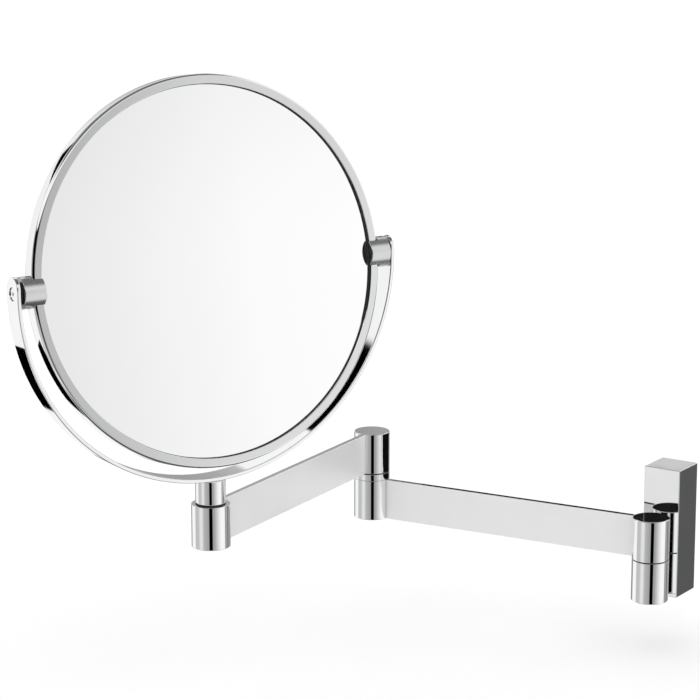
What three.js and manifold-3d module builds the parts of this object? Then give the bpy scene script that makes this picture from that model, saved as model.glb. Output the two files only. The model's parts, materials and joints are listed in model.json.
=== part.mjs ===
// Wall-mounted shaving mirror on a two-part swing arm, with a round two-sided mirror in a tilting yoke.
// Units are millimetres. +Z is up, +X runs along the wall, and -Y points out into the room.
// The origin is the centre of the wall plate's back face, so the wall is the plane y = 0.
import * as THREE from 'three';
import { mergeVertices } from 'three/addons/utils/BufferGeometryUtils.js';
import Module from 'manifold-3d';

const wasm = await Module();
wasm.setup();

// ---------------------------------------------------------------- driving dimensions
const clearance = 0.2; // between pieces that touch
const runningGap = 0.1; // radial play of a pin in its bush
const overrun = 1; // a cutting shape runs this far past what it cuts

const blockWidth = 21;
const blockDepth = 21.5;
const blockHeight = 71;
const blockWall = 2.5;
const blockFront = 5;
const plateThickness = 4;
const wallScrewPitch = 42; // between the two wall screws
const wallScrewRadius = 2;
const wallScrewLength = 18;
const grubRadius = 1.5;
const grubSink = 0.4; // a grub screw's end below the knuckle's surface

const knuckleRadius = 10;
const knuckleHeight = 22.6;
const knuckleStandOff = 1.4; // air between the block's front and the lower knuckle
const neckRadius = 4;
const boltRadius = 2.5;
const boltHeadRadius = 4.5;
const boltHeadHeight = 3;
const knuckleBottom = 0.5; // lower knuckle's underside above the block's underside
const floorThickness = 4; // closed end of every knuckle

const pinRadius = 4;
const bushWall = 1;
const pinHeadroom = 2.6; // air in a knuckle between its bush and its closed end
const bushLength = knuckleHeight - floorThickness - pinHeadroom;
const pinChamfer = 0.6;
const grooveDepth = 1;
const grooveWidth = 3.8;
const washerThickness = 0.4;
const washerInset = 0.4; // the washer's rim inside the knuckle's
const collarHeight = 3.5;
const pinScrewRadius = 2;
const pinScrewLength = 10;

const armLength = 170; // hinge axis to hinge axis, the same for both arms
const barThickness = 3;

const postRadius = 7.8;
const postHeight = 11.8; // from the top of its bush's flange to the strap
const bushFlange = 0.6;

const ringRadius = 98.5;
const ringWall = 1.8;
const ringChamfer = 0.6;
const lipThickness = 1.8;
const lipWidth = 5;
const sightRadius = ringRadius - lipWidth; // visible glass
const glassThickness = 2;
const glassRebate = 1.8; // glass hidden under the lip, all round
const magnifierMiddle = 1.4; // thickness of the magnifying glass at its centre
const magnifierSag = 1.5; // and what its hollow leaves more at its edge
const coreThickness = 0.6;
const magnifierEdge = magnifierMiddle + magnifierSag;
const ringDepth = 2 * (lipThickness + clearance) + glassThickness + coreThickness + magnifierEdge;

const yokeGap = 7; // air between the ring and the strap
const strapThickness = 2;
const strapRadius = ringRadius + yokeGap + strapThickness; // outside of the yoke's arc
const strapWidth = 12;
const strapRise = 2.2; // straight part of the strap between the pivot axis and its round tip
const strapTip = strapRise + strapWidth / 2;
const yokeRivetRadius = 2;
const yokeRivetLength = 9;

const bossCheek = 3.25; // boss in front of the ring and behind it, at its thickest
const bossRadius = ringDepth / 2 + bossCheek;
const bossOverlap = 0.8; // the boss covers this much of the visible glass
const pivotWasherThickness = 0.8;
const pivotWasherRadius = strapWidth / 2 - 0.5;
const pivotScrewRadius = 2;
const pivotHeadRadius = 3.2;
const pivotHeadHeight = 0.8;
const pivotHeadSink = 0.3; // the head lies this far below the strap's surface

// how many flat sides stand for a round one
const grubSides = 16;
const screwSides = 20;
const pinSides = 24;
const bossSides = 32;
const knuckleSides = 40;
const ringSides = 80;
const saddleSides = 96;
const strapSteps = 40; // along the strap's half circle
const tipSteps = 12; // round each of its tips
const hollowSteps = 4; // from the middle of the magnifying glass to its edge

// how the mirror stands, in degrees
const rearArmAngle = 4.7; // rear arm from the wall, which it nearly lies along
const elbowAngle = 89.2; // front arm from the line of the rear arm
const yokeAngle = -28.4; // pivot axis from the line of the front arm
const mirrorTilt = 8; // mirror faces up a little

// ---------------------------------------------------------------- levels that follow from them
const seamGap = washerThickness + 2 * clearance;
const lowerKnuckleBottom = -blockHeight / 2 + knuckleBottom;
const rearArmBottom = lowerKnuckleBottom + knuckleHeight + seamGap;
const rearArmTop = rearArmBottom + knuckleHeight;
const frontArmBottom = rearArmTop + collarHeight + washerThickness + 3 * clearance;
const frontArmTop = frontArmBottom + knuckleHeight;
const flangeBottom = frontArmTop + clearance;
const flangeTop = flangeBottom + bushFlange;
const postBottom = flangeTop + clearance;
const pivotHeight = postBottom + postHeight + strapRadius;
const wallAxisY = -(blockDepth + knuckleStandOff + knuckleRadius);
const bossOuter = strapRadius - strapThickness - pivotWasherThickness - 3 * clearance;
const bossInner = sightRadius - bossOverlap;
const pivotThreadEnd = ringRadius + 3 * clearance; // the boss's thread stops short of the ring
const pivotBoreDepth = pivotHeadSink + pivotHeadHeight + clearance;
const bushRadius = pinRadius + runningGap + bushWall;
const degrees = Math.PI / 180;

// ---------------------------------------------------------------- finishes
function finish(color, roughness, metalness) {
  return new THREE.MeshStandardMaterial({ color, roughness, metalness });
}
const chrome = finish(0xdfe1e3, 0.06, 1);
const steel = finish(0x9da0a3, 0.35, 1);
const zinc = finish(0x8f9294, 0.45, 0.9);
const brass = finish(0xb08d4c, 0.35, 1);
const blackNylon = finish(0x161616, 0.5, 0);
const rubber = finish(0x202020, 0.8, 0);
const mirrorGlass = finish(0xf4f6f7, 0.02, 1);

// ---------------------------------------------------------------- shapes
// A rod or tube along +Z from one level to another.
function rod(radius, from, to, sides = pinSides) {
  const made = new THREE.CylinderGeometry(radius, radius, to - from, sides);
  return made.rotateX(Math.PI / 2).translate(0, 0, (from + to) / 2);
}

// A solid turned about +Z from [radius, level] points that start and end on the axis or close on themselves.
function turned(points, sides = pinSides) {
  const made = new THREE.LatheGeometry(points.map(([r, z]) => new THREE.Vector2(r, z)), sides);
  return made.rotateX(Math.PI / 2);
}

function tube(outer, inner, from, to, sides = pinSides) {
  return turned([[inner, from], [outer, from], [outer, to], [inner, to], [inner, from]], sides);
}

function block(width, depth, height) {
  return new THREE.BoxGeometry(width, depth, height);
}

// A countersunk screw along +Z with its flat head at the top level and its point below.
function countersunk(radius, length, top, sides = screwSides) {
  const head = 2 * radius;
  return turned([[0, top - length], [radius * 0.6, top - length], [radius, top - length + radius * 0.4],
    [radius, top - radius], [head, top], [0, top]], sides);
}

// The hole that takes such a screw, wider by the clearance and open above its head.
function countersunkHole(radius, length, top, sides = screwSides) {
  const shank = radius + clearance;
  const head = 2 * (radius + clearance);
  return turned([[0, top - length], [shank, top - length], [shank, top - radius - clearance],
    [head, top], [head, top + overrun], [0, top + overrun]], sides);
}

function solid(geometry) {
  const bare = geometry.index ? geometry.clone() : geometry;
  bare.deleteAttribute('normal');
  bare.deleteAttribute('uv');
  const merged = mergeVertices(bare, 1e-4);
  return new wasm.Manifold(new wasm.Mesh({
    numProp: 3,
    vertProperties: new Float32Array(merged.attributes.position.array),
    triVerts: new Uint32Array(merged.index.array),
  }));
}

function geometryOf(manifold) {
  const mesh = manifold.getMesh();
  const made = new THREE.BufferGeometry();
  made.setAttribute('position', new THREE.BufferAttribute(new Float32Array(mesh.vertProperties), 3));
  made.setIndex(new THREE.BufferAttribute(new Uint32Array(mesh.triVerts), 1));
  return made;
}

function cut(body, ...tools) {
  return geometryOf(tools.reduce((left, tool) => left.subtract(solid(tool)), solid(body)));
}

function join(body, ...others) {
  return geometryOf(others.reduce((sum, other) => sum.add(solid(other)), solid(body)));
}

function common(body, other) {
  return geometryOf(solid(body).intersect(solid(other)));
}

// Turns a shape made along +Z so that it points along +Y, +X or -X.
const towardsY = (geometry) => geometry.rotateX(-Math.PI / 2);
const towardsX = (geometry) => geometry.rotateY(Math.PI / 2);
const towardsMinusX = (geometry) => geometry.rotateY(-Math.PI / 2);

function piece(parent, name, geometry, material) {
  const mesh = new THREE.Mesh(geometry, material);
  mesh.name = name;
  parent.add(mesh);
  return mesh;
}

function frameAt(parent, x, y, z, turn) {
  const group = new THREE.Group();
  group.position.set(x, y, z);
  group.rotation.z = turn * degrees;
  parent.add(group);
  return group;
}

// ---------------------------------------------------------------- hinge pieces
// A grub screw along +Y that holds a bushed knuckle on the groove of its pin.
const grubTip = pinRadius - grooveDepth + clearance;
const grubHead = knuckleRadius - grubSink;
const grubHoleStart = 1; // inside the pin's bore, short of the axis

function grubScrew(level) {
  return towardsY(rod(grubRadius, grubTip, grubHead, grubSides)).translate(0, 0, level);
}

function grubHole(level) {
  const hole = rod(grubRadius + clearance, grubHoleStart, knuckleRadius + overrun, grubSides);
  return towardsY(hole).translate(0, 0, level);
}

// A knuckle with its bore open at one end. The floor at the other end may take a pin screw.
function cappedKnuckle(bottom, grubLevel) {
  const bore = rod(bushRadius + clearance, bottom - overrun, bottom + knuckleHeight - floorThickness);
  return cut(rod(knuckleRadius, bottom, bottom + knuckleHeight, knuckleSides), bore, grubHole(grubLevel));
}

function pinnedKnuckle(bottom) {
  const bore = rod(pinRadius + clearance, bottom + floorThickness, bottom + knuckleHeight + overrun);
  const screw = countersunkHole(pinScrewRadius, floorThickness + overrun, -bottom).rotateX(Math.PI);
  return cut(rod(knuckleRadius, bottom, bottom + knuckleHeight, knuckleSides), bore, screw);
}

function pinScrew(bottom) {
  return countersunk(pinScrewRadius, pinScrewLength, -bottom - clearance).rotateX(Math.PI);
}

// A hinge pin with a groove for the grub screw above and a threaded hole for its screw below.
function hingePin(bottom, top, grooveLevel) {
  const [low, high] = [grooveLevel - grooveWidth / 2, grooveLevel + grooveWidth / 2];
  const threadRadius = pinScrewRadius + clearance;
  const threadTop = bottom + pinScrewLength - floorThickness + overrun;
  return turned([[0, threadTop], [threadRadius, threadTop], [threadRadius, bottom], [pinRadius, bottom],
    [pinRadius, low], [pinRadius - grooveDepth, low], [pinRadius - grooveDepth, high], [pinRadius, high],
    [pinRadius, top - pinChamfer], [pinRadius - pinChamfer, top], [0, top]]);
}

// A plain bush around the pin, pierced where the grub screw passes.
function bush(from, to, grubLevel) {
  return cut(tube(bushRadius, pinRadius + runningGap, from, to), grubHole(grubLevel));
}

const washer = (outer, level) => tube(outer, pinRadius + 2 * clearance, level, level + washerThickness);

function bar(bottom) {
  const length = armLength - 2 * (knuckleRadius + clearance);
  return block(length, barThickness, knuckleHeight).translate(-armLength / 2, 0, bottom + knuckleHeight / 2);
}

// ---------------------------------------------------------------- wall bracket
const mirror = new THREE.Group();
const wall = frameAt(mirror, 0, 0, 0, 0);
const plateWidth = blockWidth - 2 * (blockWall + clearance);
const plateHeight = blockHeight - 2 * (blockWall + clearance);
const lowerMiddle = lowerKnuckleBottom + knuckleHeight / 2;
const pinBottom = lowerKnuckleBottom + floorThickness + clearance;
const rearGrubLevel = rearArmBottom + bushLength / 2;
const frontGrubLevel = frontArmBottom + bushLength / 2;
const socketGrubLevel = frontArmTop - bushLength / 2;

// Screws go in from the room, so their heads face -Y.
const facingRoom = (geometry) => geometry.rotateX(Math.PI / 2);
const wallScrewHoles = [1, -1].map((side) =>
  facingRoom(countersunkHole(wallScrewRadius, plateThickness + overrun, plateThickness))
    .translate(0, 0, (side * wallScrewPitch) / 2));
const plate = block(plateWidth, plateThickness, plateHeight).translate(0, -plateThickness / 2, 0);
piece(wall, 'wall_plate', cut(plate, ...wallScrewHoles), zinc);
for (const [name, side] of [['wall_screw_upper', 1], ['wall_screw_lower', -1]]) {
  const screw = facingRoom(countersunk(wallScrewRadius, wallScrewLength, plateThickness - clearance));
  piece(wall, name, screw.translate(0, 0, (side * wallScrewPitch) / 2), steel);
}

function blockCover() {
  const outside = block(blockWidth, blockDepth, blockHeight).translate(0, -blockDepth / 2, 0);
  const room = blockDepth - blockFront;
  const inside = block(blockWidth - 2 * blockWall, room + overrun, blockHeight - 2 * blockWall);
  inside.translate(0, (overrun - room) / 2, 0);
  const boltHole = towardsY(rod(boltRadius + clearance, -blockDepth - overrun, overrun - room, screwSides));
  const underside = -blockHeight / 2;
  const grub = rod(grubRadius + clearance, underside - overrun, underside + blockWall + overrun, grubSides);
  boltHole.translate(0, 0, lowerMiddle);
  return cut(outside, inside, boltHole, grub.translate(0, -plateThickness / 2, 0));
}
piece(wall, 'block_cover', blockCover(), chrome);
const coverGrubEnds = [clearance - blockHeight / 2, -(plateHeight + clearance) / 2];
const coverGrub = rod(grubRadius, ...coverGrubEnds, grubSides);
piece(wall, 'cover_grub_screw', coverGrub.translate(0, -plateThickness / 2, 0), steel);

// The bolt's head bears on the inside of the cover's front, and its thread ends short of the hinge pin.
const boltTip = -wallAxisY - pinRadius - 2 * clearance;
const boltSeat = blockDepth - blockFront - clearance;
const boltCrown = boltHeadHeight - boltSeat;
const knuckleBolt = turned([[0, -boltTip], [boltRadius, -boltTip], [boltRadius, -boltSeat],
  [boltHeadRadius, -boltSeat], [boltHeadRadius, boltCrown], [0, boltCrown]], screwSides);
piece(wall, 'knuckle_bolt', towardsY(knuckleBolt).translate(0, 0, lowerMiddle), steel);

const wallHinge = frameAt(mirror, 0, wallAxisY, 0, 0);
const neckEnd = knuckleRadius + knuckleStandOff - clearance;
const neck = towardsY(rod(neckRadius, knuckleRadius / 2, neckEnd)).translate(0, 0, lowerMiddle);
const boltThread = towardsY(rod(boltRadius + clearance, pinRadius / 2, neckEnd + overrun, screwSides));
boltThread.translate(0, 0, lowerMiddle);
const lowerKnuckleTop = lowerKnuckleBottom + knuckleHeight;
const pinBore = rod(pinRadius + clearance, pinBottom - clearance, lowerKnuckleTop + overrun);
const neckedKnuckle = join(pinnedKnuckle(lowerKnuckleBottom), neck);
piece(wallHinge, 'wall_knuckle_lower', cut(neckedKnuckle, pinBore, boltThread), chrome);
const wallPinTop = rearArmBottom + bushLength + clearance;
piece(wallHinge, 'wall_hinge_pin', hingePin(pinBottom, wallPinTop, rearGrubLevel), steel);
piece(wallHinge, 'wall_pin_screw', pinScrew(lowerKnuckleBottom), steel);
const wallWasherLevel = rearArmBottom - clearance - washerThickness;
piece(wallHinge, 'wall_thrust_washer', washer(knuckleRadius - washerInset, wallWasherLevel), blackNylon);

// ---------------------------------------------------------------- rear arm
const rearArm = frameAt(mirror, 0, wallAxisY, 0, rearArmAngle);
piece(rearArm, 'rear_wall_knuckle', cappedKnuckle(rearArmBottom, rearGrubLevel), chrome);
piece(rearArm, 'wall_hinge_bush', bush(rearArmBottom, rearArmBottom + bushLength, rearGrubLevel), brass);
piece(rearArm, 'wall_hinge_grub', grubScrew(rearGrubLevel), steel);
piece(rearArm, 'rear_bar', bar(rearArmBottom), chrome);

const rearElbow = frameAt(rearArm, -armLength, 0, 0, 0);
const elbowPinBottom = rearArmBottom + floorThickness + clearance;
const elbowPinTop = frontArmBottom + bushLength + clearance;
piece(rearElbow, 'rear_elbow_knuckle', pinnedKnuckle(rearArmBottom), chrome);
piece(rearElbow, 'elbow_pin', hingePin(elbowPinBottom, elbowPinTop, frontGrubLevel), steel);
piece(rearElbow, 'elbow_pin_screw', pinScrew(rearArmBottom), steel);
const collarBottom = rearArmTop + clearance;
const collarTop = collarBottom + collarHeight;
const collar = tube(knuckleRadius, pinRadius + clearance, collarBottom, collarTop, knuckleSides);
piece(rearElbow, 'elbow_collar', collar, chrome);
const elbowWasherLevel = frontArmBottom - clearance - washerThickness;
piece(rearElbow, 'elbow_thrust_washer', washer(knuckleRadius - washerInset, elbowWasherLevel), blackNylon);

// ---------------------------------------------------------------- front arm
const frontArm = frameAt(rearArm, -armLength, 0, 0, elbowAngle);
piece(frontArm, 'front_elbow_knuckle', cappedKnuckle(frontArmBottom, frontGrubLevel), chrome);
piece(frontArm, 'elbow_bush', bush(frontArmBottom, frontArmBottom + bushLength, frontGrubLevel), brass);
piece(frontArm, 'elbow_grub', grubScrew(frontGrubLevel), steel);
piece(frontArm, 'front_bar', bar(frontArmBottom), chrome);

const socket = frameAt(frontArm, -armLength, 0, 0, 0);
const socketBore = rod(bushRadius + clearance, frontArmBottom + floorThickness, frontArmTop + overrun);
const socketBody = rod(knuckleRadius, frontArmBottom, frontArmTop, knuckleSides);
piece(socket, 'post_socket', cut(socketBody, socketBore, grubHole(socketGrubLevel)), chrome);
piece(socket, 'post_grub', grubScrew(socketGrubLevel), steel);
const flange = tube(postRadius, pinRadius + runningGap, flangeBottom, flangeTop);
const sleeve = bush(frontArmTop - bushLength, (flangeBottom + flangeTop) / 2, socketGrubLevel);
piece(socket, 'post_bush', join(sleeve, flange), blackNylon);

// ---------------------------------------------------------------- yoke: post, strap and pivot washers
const yoke = frameAt(frontArm, -armLength, 0, 0, yokeAngle);
const strapBottom = pivotHeight - strapRadius;
const spigotBottom = frontArmTop - bushLength;

function post() {
  const [low, high] = [socketGrubLevel - grooveWidth / 2, socketGrubLevel + grooveWidth / 2];
  const shaft = turned([[0, spigotBottom], [pinRadius, spigotBottom], [pinRadius, low],
    [pinRadius - grooveDepth, low], [pinRadius - grooveDepth, high], [pinRadius, high],
    [pinRadius, postBottom], [postRadius, postBottom], [postRadius, strapBottom + strapThickness],
    [0, strapBottom + strapThickness]], knuckleSides);
  const saddle = facingRoom(rod(strapRadius + clearance, -strapWidth, strapWidth, saddleSides));
  saddle.translate(0, 0, pivotHeight);
  const boreEnds = [strapBottom - yokeRivetLength, strapBottom + strapThickness];
  const bore = rod(yokeRivetRadius + clearance, ...boreEnds, screwSides);
  return cut(shaft, saddle, bore);
}
piece(yoke, 'post', post(), chrome);

const pivotHoleRadius = pivotScrewRadius + 1.5 * clearance;

// The strap is a half ring carried on straight above the pivot axis, with a round tip at each end.
function strap() {
  const inner = strapRadius - strapThickness;
  const outline = new THREE.Shape();
  outline.moveTo(-strapRadius, strapTip);
  outline.lineTo(-strapRadius, 0);
  outline.absarc(0, 0, strapRadius, Math.PI, 2 * Math.PI, false);
  outline.lineTo(strapRadius, strapTip);
  outline.lineTo(inner, strapTip);
  outline.lineTo(inner, 0);
  outline.absarc(0, 0, inner, 2 * Math.PI, Math.PI, true);
  outline.lineTo(-inner, strapTip);
  const plain = { bevelEnabled: false };
  const band = new THREE.ExtrudeGeometry(outline, { ...plain, depth: strapWidth, curveSegments: strapSteps });
  band.translate(0, 0, -strapWidth / 2).rotateX(Math.PI / 2);

  const half = strapWidth / 2;
  const side = new THREE.Shape();
  side.moveTo(-half, -strapRadius - overrun);
  side.lineTo(half, -strapRadius - overrun);
  side.lineTo(half, strapTip - half);
  side.absarc(0, strapTip - half, half, 0, Math.PI, false);
  const across = 2 * (strapRadius + overrun);
  const profile = new THREE.ExtrudeGeometry(side, { ...plain, depth: across, curveSegments: tipSteps });
  profile.translate(0, 0, -across / 2).rotateX(Math.PI / 2).rotateZ(Math.PI / 2);

  const pivots = towardsX(rod(pivotHoleRadius, -strapRadius - overrun, strapRadius + overrun));
  const headSeat = strapRadius - pivotBoreDepth;
  const headBore = () => rod(pivotHeadRadius + clearance, headSeat, strapRadius + overrun);
  const rivetHole = countersunkHole(yokeRivetRadius, strapThickness + overrun, strapThickness - strapRadius);
  return cut(common(band, profile), pivots, towardsX(headBore()), towardsMinusX(headBore()), rivetHole);
}
const yokeArc = frameAt(yoke, 0, 0, pivotHeight, 0);
piece(yokeArc, 'yoke_strap', strap(), chrome);
// A countersunk rivet, polished flush with the strap, ties the strap to the post.
const rivetTop = strapThickness - strapRadius - clearance;
piece(yokeArc, 'yoke_rivet', countersunk(yokeRivetRadius, yokeRivetLength, rivetTop), chrome);
const pivotWasher = () => tube(pivotWasherRadius, pivotHoleRadius, bossOuter + clearance,
  bossOuter + clearance + pivotWasherThickness);
piece(yokeArc, 'left_pivot_washer', towardsMinusX(pivotWasher()), blackNylon);
piece(yokeArc, 'right_pivot_washer', towardsX(pivotWasher()), blackNylon);

// ---------------------------------------------------------------- mirror head: its faces look along -Y and +Y
const head = frameAt(yoke, 0, 0, pivotHeight, 0);
head.rotation.x = -mirrorTilt * degrees;
const half = ringDepth / 2;
const rebateRadius = ringRadius - ringWall;
const glassRadius = sightRadius + glassRebate;
const glassFront = half - lipThickness - clearance / 2;
const coreFront = glassFront - glassThickness - clearance / 2;
const magnifierFront = coreFront - coreThickness - clearance / 2;
const facingFront = (geometry) => geometry.rotateX(Math.PI / 2);

// Pieces of the head are turned about +Z with the front face up, then laid to face -Y.
const ring = turned([[rebateRadius, -half], [ringRadius - ringChamfer, -half],
  [ringRadius, ringChamfer - half], [ringRadius, half - ringChamfer],
  [ringRadius - ringChamfer, half], [sightRadius, half],
  [sightRadius, half - lipThickness], [rebateRadius, half - lipThickness], [rebateRadius, -half]], ringSides);
piece(head, 'mirror_ring', facingFront(ring), chrome);
const rearRing = tube(rebateRadius - clearance, sightRadius, -half, lipThickness - half, ringSides);
piece(head, 'rear_retaining_ring', facingFront(rearRing), chrome);
const disc = (front, thickness) => facingFront(rod(glassRadius, front - thickness, front, ringSides));
piece(head, 'front_glass', disc(glassFront, glassThickness), mirrorGlass);
piece(head, 'core_disc', disc(coreFront, coreThickness), zinc);

// The magnifying glass is flat inside and hollowed outside, by a shallow parabola.
const hollow = Array.from({ length: hollowSteps + 1 }, (_, i) => {
  const share = 1 - i / hollowSteps;
  return [glassRadius * share, -glassFront + magnifierSag * (1 - share * share)];
});
const magnifierProfile = [...hollow.reverse(), [glassRadius, magnifierFront], [0, magnifierFront]];
const magnifier = turned(magnifierProfile, ringSides);
piece(head, 'magnifying_glass', facingFront(magnifier), mirrorGlass);
const seal = tube(rebateRadius - clearance, glassRadius + clearance, -glassFront, glassFront, ringSides);
piece(head, 'glass_seal', facingFront(seal), rubber);

// Each boss is a slotted round block that clasps the ring, and its screw passes through the strap.
function boss() {
  const body = towardsX(rod(bossRadius, bossInner, bossOuter, bossSides));
  const slot = facingFront(rod(ringRadius + clearance, -half - clearance, half + clearance, ringSides));
  const thread = towardsX(rod(pivotScrewRadius + clearance, pivotThreadEnd, bossOuter + overrun));
  return cut(body, slot, thread);
}
const pivotShank = pivotThreadEnd + clearance;
const pivotCrown = strapRadius - pivotHeadSink;
const pivotSeat = pivotCrown - pivotHeadHeight;
const pivotScrew = () => turned([[0, pivotShank], [pivotScrewRadius, pivotShank], [pivotScrewRadius, pivotSeat],
  [pivotHeadRadius, pivotSeat], [pivotHeadRadius, pivotCrown], [0, pivotCrown]]);
piece(head, 'right_boss', boss(), chrome);
piece(head, 'left_boss', boss().rotateY(Math.PI), chrome);
piece(head, 'right_pivot_screw', towardsX(pivotScrew()), chrome);
piece(head, 'left_pivot_screw', towardsMinusX(pivotScrew()), chrome);

export default mirror;
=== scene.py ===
"""Wall-mounted shaving mirror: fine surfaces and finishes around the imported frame.

Lengths are metres in the frame's own axes: +Z up, +X along the wall, -Y out into the room. Most pieces are
turned: a profile of (radius, level) corners, each with its own fillet, carried round an axis.
"""
import json

import bmesh
import bpy
import numpy as np
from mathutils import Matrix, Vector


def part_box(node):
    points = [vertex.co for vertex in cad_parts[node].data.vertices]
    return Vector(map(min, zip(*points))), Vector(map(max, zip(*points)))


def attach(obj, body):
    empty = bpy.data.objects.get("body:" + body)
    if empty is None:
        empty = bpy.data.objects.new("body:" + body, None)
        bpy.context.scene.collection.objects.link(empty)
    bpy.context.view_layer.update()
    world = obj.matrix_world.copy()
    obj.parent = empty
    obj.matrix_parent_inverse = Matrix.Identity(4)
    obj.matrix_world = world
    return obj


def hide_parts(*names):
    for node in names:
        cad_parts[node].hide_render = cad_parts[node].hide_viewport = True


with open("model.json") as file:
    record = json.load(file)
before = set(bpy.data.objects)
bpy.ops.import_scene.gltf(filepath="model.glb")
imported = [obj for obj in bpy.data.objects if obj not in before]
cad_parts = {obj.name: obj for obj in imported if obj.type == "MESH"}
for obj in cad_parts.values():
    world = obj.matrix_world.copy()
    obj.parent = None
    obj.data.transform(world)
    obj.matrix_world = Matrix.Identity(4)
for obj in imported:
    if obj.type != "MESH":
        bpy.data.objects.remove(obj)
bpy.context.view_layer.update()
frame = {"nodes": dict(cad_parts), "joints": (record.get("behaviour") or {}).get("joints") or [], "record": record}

MM = 0.001
TAU = 2 * np.pi

# ------------------------------------------------------------------ places, from the frame
joints = {j["name"]: j for j in frame["joints"]}


def joint_point(name):
    return np.array(joints[name]["pos_m"], float)


def size(node):
    low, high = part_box(node)
    return np.array(high) - np.array(low)


def bottom(node):
    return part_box(node)[0].z


def top(node):
    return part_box(node)[1].z


def unit(v):
    return np.array(v, float) / np.linalg.norm(v)


class Place:
    """A local frame: an origin and three unit axes, into which a shape's own coordinates are carried."""

    def __init__(self, origin, x, z):
        self.origin = np.array(origin, float)
        self.x = unit(x)
        self.z = unit(z)
        self.y = np.cross(self.z, self.x)

    def carry(self, points):
        """Each point is origin + x times the x axis + y times the y axis + z times the z axis."""
        return self.origin + points @ np.stack([self.x, self.y, self.z])

    def moved(self, x=0.0, y=0.0, z=0.0):
        return Place(self.carry(np.array([x, y, z], float)), self.x, self.z)


UP = np.array([0.0, 0.0, 1.0])
TO_ROOM = np.array([0.0, -1.0, 0.0])
wall_axis = joint_point("wall_swing") * [1, 1, 0]
elbow_axis = joint_point("elbow_swing") * [1, 1, 0]
head_axis = joint_point("head_swivel") * [1, 1, 0]
pivot = joint_point("mirror_tilt")
pivot_line = unit(joints["mirror_tilt"]["axis"])


def facing(node):
    """A flat node's unit normal on the room's side: the direction in which its points spread least."""
    points = np.array([v.co for v in frame["nodes"][node].data.vertices], float)
    normal = np.linalg.svd(points - points.mean(0), full_matrices=False)[2][-1]
    return normal if normal @ TO_ROOM > 0 else -normal


mirror_face = facing("core_disc")
AT_ORIGIN = Place([0, 0, 0], [1, 0, 0], UP)
AT_WALL = Place(wall_axis, [1, 0, 0], UP)
REAR_ARM = Place(wall_axis, wall_axis - elbow_axis, UP)
AT_ELBOW = Place(elbow_axis, wall_axis - elbow_axis, UP)
FRONT_ARM = Place(elbow_axis, elbow_axis - head_axis, UP)
AT_POST = Place(head_axis, elbow_axis - head_axis, UP)
YOKE = Place(pivot, pivot_line, UP)
HEAD = Place(pivot, pivot_line, mirror_face)

# ------------------------------------------------------------------ sizes
ROUND = 160  # steps round a knuckle
SMALL_ROUND = 72  # round a pin
DISC_ROUND = 240  # round the glasses
FULL_ROUND = 360  # round the mirror's ring
KNUCKLE_R = size("rear_wall_knuckle")[0] / 2
KNUCKLE_FILLET = 0.35 * MM
SEAM_FILLET = 0.12 * MM
BORE_FILLET = 0.3 * MM
SEAM_CLOSE = 0.1 * MM  # each knuckle is this much longer at a seam than its node, for a fine seam
PIN_R = size("wall_hinge_pin")[0] / 2
BUSH_R = size("wall_hinge_bush")[0] / 2
POST_R = size("post")[0] / 2
BAR_HALF = 1.5 * MM
BOLT_R = 2.5 * MM
NECK_R = 4 * MM
GRUB_R = size("wall_hinge_grub")[2] / 2
FLOOR = 4 * MM
BLOCK_WALL = 2.5 * MM
BLOCK_FRONT = 5 * MM
BLOCK_EDGE = 0.3 * MM
SCREW_R = 2 * MM  # every countersunk screw
PIN_THREAD = 7 * MM
GRUB_KEY = 1.5 * MM  # the hexagons in the screws, across their flats
PIN_SCREW_KEY = 2.5 * MM
BOLT_KEY = 4 * MM
CLEAR = 0.2 * MM
SEAT = 0.02 * MM  # between faces that lie against each other
OVERRUN = MM  # a cutter runs this far past what it cuts
GROOVE = 1 * MM
GROOVE_HALF = 1.9 * MM
BUSH_LENGTH = size("wall_hinge_bush")[2]
RING_R = 98.5 * MM
RING_HALF = 4.75 * MM
RING_WALL = 1.8 * MM
SIGHT_R = 93.5 * MM
GLASS_R = 95.3 * MM
GLASS_THICK = 2 * MM
LENS_SAG = 1.5 * MM
STRAP_R = 107.5 * MM
STRAP_THICK = 2 * MM
STRAP_HALF = 6 * MM
STRAP_TIP = top("yoke_strap") - pivot[2]
RIVET_LENGTH = 9 * MM
BOSS_R = size("left_boss")[2] / 2
LIP_THICK = 1.8 * MM
LIP_FALL = 0.4 * MM  # the lip slopes down to its outer edge by this much
PIVOT_HEAD_R = 3.2 * MM
PIVOT_HEAD = 0.6 * MM
PIVOT_SINK = 0.5 * MM


AT_COVER_GRUB = AT_ORIGIN.moved(y=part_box("wall_plate")[0].y / 2)
knuckle_level = (bottom("wall_knuckle_lower") + top("wall_knuckle_lower")) / 2  # the bolt's own
post_level = top("post_socket") - BUSH_LENGTH / 2  # the post's grub screw


# ------------------------------------------------------------------ meshes
def finish_mesh(bm, name):
    bmesh.ops.remove_doubles(bm, verts=bm.verts, dist=1e-7)
    bmesh.ops.dissolve_degenerate(bm, edges=bm.edges, dist=1e-7)
    bmesh.ops.recalc_face_normals(bm, faces=bm.faces)
    mesh = bpy.data.meshes.new(name)
    bm.to_mesh(mesh)
    bm.free()
    return shade(mesh)


def shade(mesh, sharp_above=32):
    mesh.shade_smooth()
    mesh.set_sharp_from_angle(angle=np.radians(sharp_above))
    return mesh


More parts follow.
